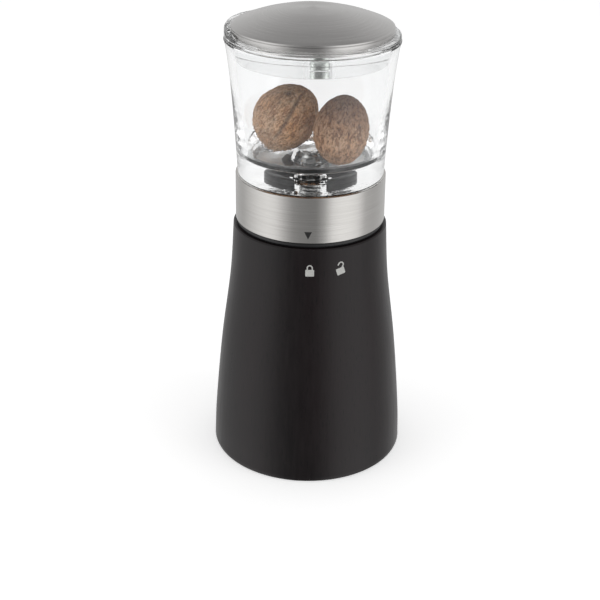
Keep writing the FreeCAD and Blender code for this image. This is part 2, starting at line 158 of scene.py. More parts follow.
def brushedSteel(name, look):  # brush lines run round the axis, so they change with radius and height only
    material, tree, shader = newMaterial(name)
    flat, radius, height = turnedPlace(tree)
    slow = calcVector(tree, "MULTIPLY", flat, (look["along"],) * 3)
    level = calc(tree, "SUBTRACT", radius, height)

    def lines(across, detail):
        lift = addNode(tree, "CombineXYZ", {"Z": calc(tree, "MULTIPLY", level, across)}).outputs[0]
        return noiseAt(tree, calcVector(tree, "ADD", slow, lift), 1.0, detail, 0.6)

    hair = lines(look["across"], 4.0)
    band = lines(look["across"] * look["bandAcross"], 3.0)
    tone = blended(tree, mapped(tree, hair, 0.0, 1.0), look["dark"], look["light"])
    patchy = blended(tree, mapped(tree, band, 0.0, look["band"]), tone, look["dark"])
    dress(tree, shader, patchy, mapped(tree, hair, *look["rough"]), hair, look["bump"])
    tangent = addNode(tree, "Tangent", direction_type="RADIAL", axis="Z")
    feed(tree, tangent.outputs["Tangent"], shader, "Tangent")
    shader.inputs["Metallic"].default_value = 1.0
    shader.inputs["Anisotropic"].default_value = look["anisotropy"]
    shader.inputs["Anisotropic Rotation"].default_value = look["rotation"]
    return material


brushed = brushedSteel("brushedSteel", steelLook)
domeSteel = brushedSteel("spunSteel", domeLook)

nickelLook = {"dark": (0.40, 0.42, 0.40, 1), "light": (0.52, 0.54, 0.51, 1), "rough": (0.06, 0.12),
              "grain": 900.0, "bump": (0.1, 0.00005)}
brightLook = {"dark": (0.52, 0.52, 0.52, 1), "light": (0.66, 0.66, 0.66, 1), "rough": (0.16, 0.30),
              "grain": 700.0, "bump": (0.1, 0.00005)}


def plainMetal(name, look):
    material, tree, shader = newMaterial(name)
    spots = noiseAt(tree, objectPoint(tree), look["grain"], 6.0)
    tone = blended(tree, mapped(tree, spots, 0.0, 1.0), look["dark"], look["light"])
    dress(tree, shader, tone, mapped(tree, spots, *look["rough"]), spots, look["bump"])
    shader.inputs["Metallic"].default_value = 1.0
    return material


nickel = plainMetal("nickelPlate", nickelLook)
brightSteel = plainMetal("brightSteel", brightLook)

threadLook = {"root": 0.0032, "crest": 0.0037, "from": 0.1006, "fade": 0.0002, "grain": 700.0,
              "dark": (0.60, 0.60, 0.59, 1), "light": (0.78, 0.78, 0.77, 1), "rootShade": (0.06, 0.06, 0.06, 1),
              "rough": (0.12, 0.24)}


def threadedSteel(name, look):  # bright crests over roots darkened with painted shade, above the hexagon
    material, tree, shader = newMaterial(name)
    radius, height = turnedPlace(tree)[1:]
    root = mapped(tree, radius, 1.0, 0.0, look["root"], look["crest"])
    above = mapped(tree, height, 0.0, 1.0, look["from"], look["from"] + look["fade"])
    spots = noiseAt(tree, objectPoint(tree), look["grain"], 6.0)
    bright = blended(tree, mapped(tree, spots, 0.0, 1.0), look["dark"], look["light"])
    # painted shade: the thread roots are darkened almost to black
    shadedRoots = blended(tree, calc(tree, "MULTIPLY", root, above), bright, look["rootShade"])
    dress(tree, shader, shadedRoots, mapped(tree, spots, *look["rough"]))
    shader.inputs["Metallic"].default_value = 1.0
    return material


spindleSteel = threadedSteel("threadedSteel", threadLook)

mouldedLook = {"grain": 1400.0, "cloud": 60.0, "bump": (0.2, 0.00004), "specular": 0.5}
blackLook = dict(mouldedLook, dark=(0.010, 0.010, 0.011, 1), light=(0.018, 0.018, 0.019, 1), rough=(0.30, 0.48))
mattLook = dict(mouldedLook, dark=(0.006, 0.006, 0.007, 1), light=(0.012, 0.012, 0.013, 1), rough=(0.60, 0.80),
                specular=0.10)
whiteLook = dict(mouldedLook, dark=(0.84, 0.83, 0.81, 1), light=(0.90, 0.89, 0.87, 1), rough=(0.30, 0.42))
signLook = dict(mouldedLook, dark=(0.46, 0.46, 0.44, 1), light=(0.56, 0.56, 0.54, 1), rough=(0.35, 0.50))
arrowLook = dict(mouldedLook, dark=(0.012, 0.012, 0.012, 1), light=(0.022, 0.022, 0.022, 1), rough=(0.35, 0.50))


def moulded(name, look):  # plastic and paint
    material, tree, shader = newMaterial(name)
    skin = noiseAt(tree, objectPoint(tree), look["grain"], 5.0)
    cloud = noiseAt(tree, objectPoint(tree), look["cloud"], 3.0)
    tone = blended(tree, mapped(tree, cloud, 0.0, 1.0), look["dark"], look["light"])
    dress(tree, shader, tone, mapped(tree, skin, *look["rough"]), skin, look["bump"])
    shader.inputs["Specular IOR Level"].default_value = look["specular"]
    return material


blackPlastic = moulded("blackPlastic", blackLook)
mattBlack = moulded("mattBlack", mattLook)
whiteAcetal = moulded("whiteAcetal", whiteLook)
signPaint = moulded("signPaint", signLook)
arrowPaint = moulded("arrowPaint", arrowLook)

# The wall flares, so radius less flare times height is the same all the way up one face of it
acrylicLook = {"tint": (0.935, 0.940, 0.942, 1), "clear": (0.952, 0.955, 0.956, 1), "haze": 45.0,
               "flare": 0.0937, "inner": 0.0130, "outer": 0.0145, "waveScale": 160.0, "waveAlong": 0.45,
               "wave": 0.35, "rippleScale": 420.0, "rippleAlong": 1.4, "ripple": (0.8, 0.15),
               "rippleHeights": (0.110, 0.135), "rough": (0.0, 0.012), "bump": (1.0, 0.00008), "ior": 1.49}
lidLook = dict(acrylicLook, bump=(1.0, 0.00002))


def clearAcrylic(name, look):  # polished outside; the inner faces keep fine moulding ripples
    material, tree, shader = newMaterial(name)
    radius, height = turnedPlace(tree)[1:]
    depth = calc(tree, "MULTIPLY_ADD", height, -look["flare"], radius)
    inner = mapped(tree, depth, 1.0, 0.0, look["inner"], look["outer"])
    haze = noiseAt(tree, objectPoint(tree), look["haze"], 3.0)
    wave = noiseAt(tree, objectPoint(tree, look["waveAlong"]), look["waveScale"], 2.0)
    ripple = noiseAt(tree, objectPoint(tree, look["rippleAlong"]), look["rippleScale"], 2.0)
    share = mapped(tree, height, *look["ripple"], *look["rippleHeights"])
    both = calc(tree, "MULTIPLY_ADD", wave, look["wave"], calc(tree, "MULTIPLY", ripple, share))
    relief = calc(tree, "MULTIPLY", both, inner)
    tone = blended(tree, haze, look["tint"], look["clear"])
    dress(tree, shader, tone, mapped(tree, haze, *look["rough"]), relief, look["bump"])
    shader.inputs["Transmission Weight"].default_value = 1.0
    shader.inputs["IOR"].default_value = look["ior"]
    return material


acrylic = clearAcrylic("clearAcrylic", acrylicLook)
lidAcrylic = clearAcrylic("lidAcrylic", lidLook)

# grain, figure and pores: (how far drawn out along the grain, scale)
woodLook = {"dark": (0.0030, 0.0020, 0.0025, 1), "red": (0.0100, 0.0046, 0.0056, 1),
            "pale": (0.0125, 0.0088, 0.0095, 1), "pore": (0.0018, 0.0012, 0.0014, 1), "grain": (0.07, 700.0),
            "figure": (0.30, 38.0), "pores": (0.10, 1300.0), "poreEdge": (0.05, 0.30), "streak": 0.5,
            "rough": (0.27, 0.37), "bump": (0.2, 0.00004), "specular": 0.33}


def stainedWood(name, look):
    material, tree, shader = newMaterial(name)
    grain = noiseAt(tree, objectPoint(tree, look["grain"][0]), look["grain"][1], 6.0, 0.6)
    figure = noiseAt(tree, objectPoint(tree, look["figure"][0]), look["figure"][1], 4.0)
    pores = addNode(tree, "TexVoronoi", {"Vector": objectPoint(tree, look["pores"][0]),
                                         "Scale": look["pores"][1], "Randomness": 1.0}, feature="F1")
    pit = mapped(tree, pores.outputs["Distance"], 0.0, 1.0, *look["poreEdge"])
    stain = blended(tree, mapped(tree, figure, 0.0, 1.0), look["dark"], look["red"])
    streaked = blended(tree, mapped(tree, grain, 0.0, look["streak"]), stain, look["pale"])
    relief = calc(tree, "MULTIPLY", mapped(tree, grain, 0.0, 1.0), pit)
    tone = blended(tree, pit, look["pore"], streaked)
    dress(tree, shader, tone, mapped(tree, grain, *look["rough"]), relief, look["bump"])
    shader.inputs["Specular IOR Level"].default_value = look["specular"]
    return material


wood = stainedWood("stainedWood", woodLook)

# long and net: (how far drawn out along the nutmeg, scale, how far the lines wander in mm)
paleLook = {"pale": (0.98, 0.68, 0.43, 1), "warm": (0.97, 0.53, 0.25, 1), "brown": (0.46, 0.19, 0.075, 1),
            "dark": (0.10, 0.045, 0.022, 1), "shade": (0.42, 0.36, 0.34, 1), "topShade": 0.8,
            "topHeights": (7.0, 13.0), "long": (0.34, 0.65, 3.5), "net": (0.62, 1.10, 3.0), "netFaint": 0.35,
            "netRelief": 0.5, "drift": 0.30, "line": 0.032, "strokes": (0.30, 1.15), "stroke": 0.74,
            "strokeEdge": (0.51, 0.61), "patch": 0.20, "fleck": 4.0, "flecked": 0.4, "rough": (0.60, 0.78),
            "bump": (1.0, 0.0003), "specular": 0.20, "start": (3.1, -3.1, 6.2)}
# the darker nutmeg has darker brown lines, and its painted shade is greyer and reaches further down
darkLook = dict(paleLook, pale=(0.95, 0.63, 0.41, 1), warm=(0.88, 0.49, 0.26, 1), brown=(0.32, 0.135, 0.060, 1),
                shade=(0.36, 0.29, 0.26, 1), topShade=0.85, topHeights=(-2.0, 9.0), start=(17.4, 9.0, 2.0))


def nutmegShell(name, look):  # "seed" is the place on the nutmeg, in mm, with Z along the nutmeg
    material, tree, shader = newMaterial(name)
    place = addNode(tree, "Attribute", attribute_name="seed").outputs["Vector"]
    groove = addNode(tree, "Attribute", attribute_name="groove").outputs["Fac"]
    seed = calcVector(tree, "ADD", place, look["start"])

    def wrinkles(along, scale, bend):  # 0 along winding lines, 1 on the ridges between them
        drift = addNode(tree, "TexNoise", {"Vector": seed, "Scale": look["drift"], "Detail": 2.0})
        shifted = calcVector(tree, "MULTIPLY_ADD", drift.outputs["Color"], (bend,) * 3, seed)
        height = noiseAt(tree, scaledPoint(tree, shifted, (1.0, 1.0, along)), scale, 2.0, 0.5)
        size = calc(tree, "ABSOLUTE", calc(tree, "SUBTRACT", height, 0.5))
        return mapped(tree, size, 0.0, 1.0, 0.0, look["line"])

    long = wrinkles(*look["long"])
    net = wrinkles(*look["net"])
    strokeAlong, strokeScale = look["strokes"]
    strokes = noiseAt(tree, scaledPoint(tree, seed, (1.0, 1.0, strokeAlong)), strokeScale, 2.0, 0.6)
    stroke = mapped(tree, strokes, 0.0, look["stroke"], *look["strokeEdge"])
    patch = noiseAt(tree, seed, look["patch"], 3.0)
    fleck = noiseAt(tree, seed, look["fleck"], 4.0, 0.7)
    skin = blended(tree, mapped(tree, patch, 0.0, 1.0), look["pale"], look["warm"])
    flecked = blended(tree, mapped(tree, fleck, 0.0, look["flecked"]), skin, look["brown"])
    stroked = blended(tree, stroke, flecked, look["brown"])
    lined = blended(tree, long, look["brown"], stroked)
    netted = blended(tree, mapped(tree, net, look["netFaint"], 1.0, 0.0, 1.0), look["brown"], lined)
    height = addNode(tree, "SeparateXYZ", {0: place}).outputs["Z"]
    # painted shade: towards its upper end the nutmeg is multiplied by the shade colour
    top = mapped(tree, height, 0.0, look["topShade"], *look["topHeights"])
    shaded = blended(tree, top, netted, look["shade"], "MULTIPLY")
    # painted shade in the grooves and furrow, from the groove attribute, which also holds the scar's own dark
    # mark
    tone = blended(tree, groove, shaded, look["dark"])
    relief = calc(tree, "MULTIPLY_ADD", net, look["netRelief"], long)
    dress(tree, shader, tone, mapped(tree, fleck, *look["rough"]), relief, look["bump"])
    shader.inputs["Specular IOR Level"].default_value = look["specular"]
    return material


paleShell = nutmegShell("nutmegPale", paleLook)
greyShell = nutmegShell("nutmegGrey", darkLook)

slotFinish = {"stained_wood": wood, "black_plastic": blackPlastic, "brushed_steel": brushed,
              "bright_steel": brightSteel, "nickel_plate": nickel, "white_acetal": whiteAcetal,
              "clear_acrylic": acrylic, "nutmeg_light": paleShell, "nutmeg_dark": greyShell}
for part in frame["record"]["subparts"]:
    for materialSlot in nodes[part["node"]].material_slots:
        materialSlot.material = slotFinish[part["material_slot"]]
nodes["slip_ring"].material_slots[0].material = mattBlack
print("finishes made")


def looseObject(name, bm):
    mesh = bpy.data.meshes.new(name)
    bm.to_mesh(mesh)
    bm.free()
    item = bpy.data.objects.new(name, mesh)
    bpy.context.scene.collection.objects.link(item)
    return item


def softened(piece, sharpest=sharpAngle):
    piece.data.shade_smooth()
    piece.data.set_sharp_from_angle(angle=math.radians(sharpest))


def finishPiece(name, bm, body, material, replaced=(), sharpest=sharpAngle):  # None leaves flat facets
    piece = looseObject(name, bm)
    if sharpest is not None:
        softened(piece, sharpest)
    piece.data.materials.append(material)
    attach(piece, body)
    if replaced:
        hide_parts(*replaced)
    return piece


def outward(bm):
    bmesh.ops.recalc_face_normals(bm, faces=bm.faces)
    return bm


def rounded(bm, geom, width, segments=roundSegments, affect="EDGES"):
    bmesh.ops.bevel(bm, geom=geom, offset=width, offset_type="OFFSET", segments=segments, profile=0.5,
                    affect=affect, material=-1, clamp_overlap=True)


def wound(bm, geom, steps, angle=math.tau, rise=0.0, merged=False):  # turned about the axis, rise for each step
    bmesh.ops.spin(bm, geom=geom, cent=(0, 0, 0), axis=(0, 0, 1), dvec=(0, 0, rise), angle=angle, steps=steps,
                   use_merge=merged)


def carry(bm, grown, vec):  # moves what an extrusion has just made
    bmesh.ops.translate(bm, vec=vec, verts=[v for v in grown["geom"] if isinstance(v, bmesh.types.BMVert)])


def joinMeshes(target, *others):
    for other in others:
        mesh = bpy.data.meshes.new("joined")
        other.to_mesh(mesh)
        other.free()
        target.from_mesh(mesh)
        bpy.data.meshes.remove(mesh)
    return target


def smoothRun(points):  # fine points of a smooth line through the given ones
    ends = [tuple(2 * a - b for a, b in zip(points[0], points[1]))] + list(points)
    ends.append(tuple(2 * a - b for a, b in zip(points[-1], points[-2])))
    run = []
    for i in range(1, len(ends) - 2):
        p = [Vector(q) for q in ends[i - 1:i + 3]]
        for k in range(runSteps):
            t = k / runSteps
            run.append(0.5 * (2 * p[1] + (p[2] - p[0]) * t + (2 * p[0] - 5 * p[1] + 4 * p[2] - p[3]) * t ** 2
                              + (3 * p[1] - p[0] - 3 * p[2] + p[3]) * t ** 3))
    return [tuple(q) for q in run] + [tuple(points[-1])]


def arcRun(centre, radius, start, end, steps):
    turns = [math.radians(start + (end - start) * k / steps) for k in range(steps + 1)]
    return [(centre[0] + radius * math.cos(t), centre[1] + radius * math.sin(t)) for t in turns]


def lathe(outline, soft=None, steps=192, closed=True):
    # outline: (radius, height) in mm; soft: {index of an outline point: width of its rounded edge in mm}
    bm = bmesh.new()
    verts = [bm.verts.new((r * mm, 0.0, z * mm)) for r, z in outline]
    pairs = list(zip(verts, verts[1:])) + ([(verts[-1], verts[0])] if closed else [])
    edges = [bm.edges.new(pair) for pair in pairs]
    wound(bm, verts + edges, steps, merged=True)
    bmesh.ops.remove_doubles(bm, verts=bm.verts, dist=near)
    for index, width in (soft or {}).items():
        radius, height = outline[index][0] * mm, outline[index][1] * mm
        loop = [e for e in bm.edges if all(abs(v.co.z - height) < near
                and abs(math.hypot(v.co.x, v.co.y) - radius) < near for v in e.verts)]
        rounded(bm, loop, width * mm)
    return outward(bm)


def prism(corners, low, high, soft=0.0):  # upright, over (x, y) corners in mm, its top edges rounded
    bm = bmesh.new()
    face = bm.faces.new([bm.verts.new((x * mm, y * mm, low * mm)) for x, y in corners])
    carry(bm, bmesh.ops.extrude_face_region(bm, geom=[face]), (0, 0, (high - low) * mm))
    outward(bm)
    if soft:
        ends = [e for e in bm.edges if all(abs(v.co.z - high * mm) < near for v in e.verts)]
        rounded(bm, ends, soft * mm, segments=3)
    return bm


def bar(sides, across, low, high, soft):  # upright, with this width across its flat sides
    radius = across / 2 / math.cos(math.pi / sides)
    turns = [math.pi * (2 * k + 1) / sides for k in range(sides)]
    return prism([(radius * math.sin(t), -radius * math.cos(t)) for t in turns], low, high, soft)


def cutAway(piece, tool):
    modifier = piece.modifiers.new("cut", "BOOLEAN")
    modifier.operation = "DIFFERENCE"
    modifier.solver = "EXACT"
    modifier.object = tool
    depsgraph = bpy.context.evaluated_depsgraph_get()
    mesh = bpy.data.meshes.new_from_object(piece.evaluated_get(depsgraph))
    piece.modifiers.clear()
    piece.data = mesh
    bpy.data.objects.remove(tool)


woodShape = {"foot": [(26.5, 0.0), (33.0, 0.0), (33.57, 0.24)],
             "outside": [(33.8, 0.8), (33.2, 14.0), (30.9, 40.0), (27.6, 66.0), (26.4, 85.0)],
             "inside": [(26.0, 85.4), (23.6, 85.4), (23.6, 76.0), (19.0, 76.0), (19.0, 20.6), (26.5, 20.6)]}


def woodRadius(height):  # of the outside, for what sits on it
    run = smoothRun(woodShape["outside"])
    for (r0, z0), (r1, z1) in zip(run, run[1:]):
        if z0 <= height <= z1:
            return r0 + (r1 - r0) * (height - z0) / (z1 - z0)
    return run[-1][0]


def makeWood(s):
    bm = lathe(s["foot"] + smoothRun(s["outside"]) + s["inside"])
    finishPiece("woodBell", bm, "body", wood, ("wood_body",))


# lips: how far each end is turned in; support: a ring this far from an edge keeps its shading flat
bandShape = {"radius": 25.6, "bottom": 87.2, "top": 103.2, "sheet": 0.6, "lips": (1.0, 0.6), "edge": 0.25,
             "support": 0.5}


def makeBand(s):
    inner = s["radius"] - s["sheet"]
    lowLip, highLip = inner - s["lips"][0], inner - s["lips"][1]
    outline = [(lowLip, s["bottom"]), (s["radius"], s["bottom"]), (s["radius"], s["bottom"] + s["support"]),
               (s["radius"], s["top"] - s["support"]), (s["radius"], s["top"]), (highLip, s["top"]),
               (highLip, s["top"] - s["sheet"]), (inner, s["top"] - s["sheet"]),
               (inner, s["bottom"] + s["sheet"]), (lowLip, s["bottom"] + s["sheet"])]
    bm = lathe(outline, {1: s["edge"], 4: s["edge"]})
    finishPiece("steelBand", bm, "head", brushed, ("steel_band",))


hopperShape = {"hole": [(0.0, 109.8), (3.9, 109.8), (3.9, 104.1), (4.5, 103.5), (24.0, 103.5)],
               "foot": {"radius": 24.9, "bottom": 103.5, "round": 0.6, "steps": 8},
               "outside": [(24.9, 104.1), (25.35, 111.2), (26.2, 124.0), (27.25, 136.2), (28.45, 146.0),
                           (29.2, 149.5)],
               "rim": [(29.05, 149.85), (28.7, 150.0), (26.7, 150.0)],
               "inside": [(26.7, 150.0), (25.8, 143.0), (24.3, 128.0), (22.55, 113.6), (22.5, 113.2)],
               "floor": [(22.33, 112.98), (20.57, 110.72), (20.4, 110.5), (20.13, 110.39), (12.3, 107.2)],
               "boss": [(6.6, 107.2), (6.07, 109.1), (3.96, 110.77), (0.0, 111.4)]}


def makeHopper(s):
    foot = s["foot"]
    centre = (foot["radius"] - foot["round"], foot["bottom"] + foot["round"])
    outline = s["hole"] + arcRun(centre, foot["round"], -90.0, 0.0, foot["steps"])
    outline += smoothRun(s["outside"])[1:] + s["rim"] + smoothRun(s["inside"])[1:] + s["floor"]
    bm = lathe(outline + smoothRun(s["boss"]), closed=False)
    finishPiece("clearHopper", bm, "hopper", acrylic, ("clear_hopper",))


domeShape = {"top": [(0.0, 160.0), (9.5, 159.25), (18.5, 157.15), (25.0, 154.85), (26.55, 154.13)],
             "edge": [(26.66, 154.08), (26.77, 154.01), (26.85, 153.9), (26.89, 153.77), (26.9, 153.65),
                      (26.9, 153.5), (26.86, 153.38), (26.76, 153.3), (26.76, 153.22), (26.86, 153.14),
                      (26.9, 153.02), (26.9, 152.8), (26.9, 150.5), (26.9, 150.36), (26.2, 150.36)],
             "inner": [(26.2, 153.3), (24.9, 153.95), (18.0, 156.55), (9.0, 158.6), (0.0, 159.3)]}


def makeDome(s):
    bm = lathe(smoothRun(s["top"]) + s["edge"] + s["inner"], closed=False)
    finishPiece("lidDome", bm, "lid", domeSteel, ("lid_dome",))


# lip: part of the rim rises by height, inside spread degrees of its direction
# skirt: at the front the rim's inner wall leans in by touch, against the dome
plugShape = {"body": [(0.0, 143.2), (24.3, 143.2), (24.6, 143.2), (24.8, 143.24), (24.97, 143.36),
                      (25.08, 143.53), (25.12, 143.75), (25.15, 143.95), (26.05, 149.75), (26.1, 150.05)],
             "rim": [(28.9, 150.05), (29.0, 150.15), (29.0, 151.05), (28.96, 151.25), (28.85, 151.4),
                     (28.7, 151.5), (28.5, 151.55), (27.05, 151.55), (27.0, 151.5), (27.0, 150.4),
                     (26.7, 150.4), (0.0, 150.4)], "steps": 240,
             "lip": {"height": 2.3, "direction": 155.0, "spread": 50.0, "beyond": 26.9, "above": 151.2},
             "skirt": {"between": (26.9, 27.1), "above": 150.2, "touch": 0.14, "gain": 2.5, "from": 1.2},
             "hole": {"radius": 3.5, "x": 1.6, "low": 142.0, "high": 151.0, "sides": 96}}


def makePlug(s):
    bm = lathe(s["body"] + s["rim"], closed=False, steps=s["steps"])
    lip, skirt, hole = s["lip"], s["skirt"], s["hole"]
    least = math.cos(math.radians(lip["spread"]))
    for vert in bm.verts:
        radius, height = math.hypot(vert.co.x, vert.co.y), vert.co.z
        if radius > lip["beyond"] * mm and height > lip["above"] * mm:
            away = math.atan2(vert.co.y, vert.co.x) - math.radians(lip["direction"])
            vert.co.z += lip["height"] * mm * max(0.0, (math.cos(away) - least) / (1 - least))
        if skirt["between"][0] * mm < radius < skirt["between"][1] * mm and height > skirt["above"] * mm:
            front = min(1.0, max(0.0, -vert.co.y / radius * skirt["gain"] - skirt["from"]))
            vert.co.xy *= 1 - skirt["touch"] * mm * front / radius
    piece = finishPiece("lidPlug", bm, "lid", lidAcrylic, ("lid_plug",))
    turns = [math.tau * k / hole["sides"] for k in range(hole["sides"])]
    drill = prism([(hole["x"] + hole["radius"] * math.cos(t), hole["radius"] * math.sin(t)) for t in turns],
                  hole["low"], hole["high"])
    cutAway(piece, looseObject("stemDrill", drill))
    softened(piece)


studShape = {"x": 1.6, "steps": 96,
             "outline": [(0.0, 143.3), (3.0, 143.3), (3.21, 143.39), (3.3, 143.6), (3.3, 143.9), (3.3, 149.35),
                         (3.45, 149.35), (3.45, 150.35), (2.2, 150.35), (2.2, 159.1), (0.0, 159.1)]}


def makeStud(s):
    bm = lathe(s["outline"], steps=s["steps"], closed=False)
    bmesh.ops.translate(bm, vec=(s["x"] * mm, 0, 0), verts=bm.verts)
    finishPiece("lidStud", bm, "lid", nickel, ("lid_stud",))


# square and hexagon: (across the flats, low, high, rounding); profile: (radius, share of the pitch)
spindleShape = {"square": (5.6, 56.0, 86.0, 0.0), "hexagon": (13.0, 98.55, 100.4, 0.2), "steps": 96,
                "journal": [(0.0, 86.0), (4.0, 86.0), (4.0, 86.6), (3.6, 86.6), (3.6, 87.2), (4.0, 87.2),
                            (4.0, 98.55), (0.0, 98.55)],
                "thread": {"profile": [(3.0, 0.0), (3.84, 0.38), (3.84, 0.52), (3.0, 0.9), (3.0, 1.0)],
                           "pitch": 1.3, "bottom": 100.4, "top": 109.7, "stepsPerTurn": 48}}


def threadMesh(s):
    bm = bmesh.new()
    verts = [bm.verts.new((r * mm, 0.0, (s["bottom"] + share * s["pitch"]) * mm)) for r, share in s["profile"]]
    edges = [bm.edges.new(pair) for pair in zip(verts, verts[1:])]
    turns = (s["top"] - s["bottom"]) / s["pitch"] - 1.0
    steps = round(turns * s["stepsPerTurn"])
    wound(bm, verts + edges, steps, math.tau * steps / s["stepsPerTurn"], s["pitch"] * mm / s["stepsPerTurn"])
    bmesh.ops.remove_doubles(bm, verts=bm.verts, dist=near)
    bmesh.ops.holes_fill(bm, edges=[e for e in bm.edges if e.is_boundary], sides=0)
    return outward(bm)


def makeSpindle(s):
    journal = lathe(s["journal"], steps=s["steps"], closed=False)
    bm = joinMeshes(bar(4, *s["square"]), bar(6, *s["hexagon"]), journal, threadMesh(s["thread"]))
    finishPiece("spindleThreaded", bm, "hopper", spindleSteel, ("spindle",))


# gap: from the middle line to the end of a key, across the hub
hubShape = {"outline": [(4.0, 98.65), (8.6, 98.65), (8.6, 101.3), (10.5, 101.3), (10.5, 102.3), (8.6, 102.3),
                        (8.6, 103.3), (4.0, 103.3)], "steps": 96,
            "key": {"inner": 7.0, "outer": 10.2, "gap": 4.1, "low": 103.3, "high": 105.5, "soft": 0.3,
                    "steps": 24}}


def keyPrism(s, side):  # one curved key, on the left (-1) or the right (1)
    corners = []
    for radius, way in ((s["outer"], 1), (s["inner"], -1)):
        reach = math.acos(s["gap"] / radius)
        turns = [way * reach * (2 * k / s["steps"] - 1) for k in range(s["steps"] + 1)]
        corners += [(side * radius * math.cos(t), radius * math.sin(t)) for t in turns]
    return prism(corners, s["low"], s["high"], s["soft"])


def makeHub(s):
    keys = [keyPrism(s["key"], side) for side in (-1, 1)]
    bm = joinMeshes(lathe(s["outline"], steps=s["steps"]), *keys)
    finishPiece("driveHub", bm, "hopper", blackPlastic, ("drive_hub",))


makeWood(woodShape)
makeBand(bandShape)
makeHopper(hopperShape)
makeDome(domeShape)
makePlug(plugShape)
makeStud(studShape)
makeSpindle(spindleShape)
makeHub(hubShape)
print("turned pieces made")

spring = {"radius": 6.6, "wire": 0.45, "turns": 9, "low": 36.0, "high": 85.75, "travel": 21.5, "sides": 12,
          "stepsPerTurn": 48, "sharpest": 60.0}


def makeSpring(s):  # a coil between low and high, as it stands; on the mill it is pressed together as the claw carrier rises
    bm = bmesh.new()
    start = Matrix.Translation(Vector((s["radius"], 0.0, s["low"] + s["wire"])) * mm)
    bmesh.ops.create_circle(bm, segments=s["sides"], radius=s["wire"] * mm,
                            matrix=start @ Matrix.Rotation(math.radians(90), 4, "X"))
    steps = s["turns"] * s["stepsPerTurn"]
    rise = (s["high"] - s["low"] - 2 * s["wire"]) * mm / steps
    wound(bm, bm.verts[:] + bm.edges[:], steps, math.radians(360 * s["turns"]), rise)
    bmesh.ops.holes_fill(bm, edges=bm.edges[:], sides=0)
    piece = finishPiece("pusherSpring", outward(bm), "pusher", brightSteel, ("pusher_spring",),
                        s["sharpest"])
    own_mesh(piece)


makeSpring(spring)
print("spring made")

# furrow: (direction, depth); scar: (direction, height from -1 to 1, darkness)
leftNut = {"radius": 11.0, "half": 13.0, "lean": 45.0, "direction": 30.0, "centre": (-9.0, 5.8, 120.5),
           "seed": 3.1, "relief": 0.5, "spin": 20.0, "furrow": (-108.0, 1.3), "scar": (-141.0, 0.5, 0.8)}
rightNut = {"radius": 9.2, "half": 12.3, "lean": 8.0, "direction": 30.0, "centre": (9.9, -5.6, 120.1),
            "seed": 17.4, "relief": 0.45, "spin": 140.0, "furrow": (0.0, 0.0), "scar": (0.0, 0.9, 0.5)}
# What both share. Along is the scale of a noise lengthways; the groove darkening is painted shade, stronger
# where the surface is carved deeper and along the long furrow.
nutSkin = {"seed": 5, "subdivisions": 6, "sharpest": 180.0, "size": 0.985, "taper": 0.055, "belly": 0.02,
           "sway": 0.03, "swayScale": 1.6, "swayAlong": 0.7, "ridge": 0.5, "ridgeScale": 4.6,
           "ridgeAlong": 1.6, "ridgeEdge": 3.0, "bend": 0.9, "bendScale": 0.6, "net": 0.5, "netScale": 13,
           "netAlong": 6.0, "netBend": 2, "netEdge": 2.6, "pitScale": 26, "pit": 0.12, "groove": 0.8,
           "furrowLean": 0.25, "furrowWidth": 0.06, "scarWidth": 0.12, "shadeAndScar": 0.9, "grooveShadeFrom": 0.38,
           "furrowShade": 0.6, "shadeAndScarMost": 0.8}


def drawnOut(point, across, along):
    return Vector((point.x * across, point.y * across, point.z * along))


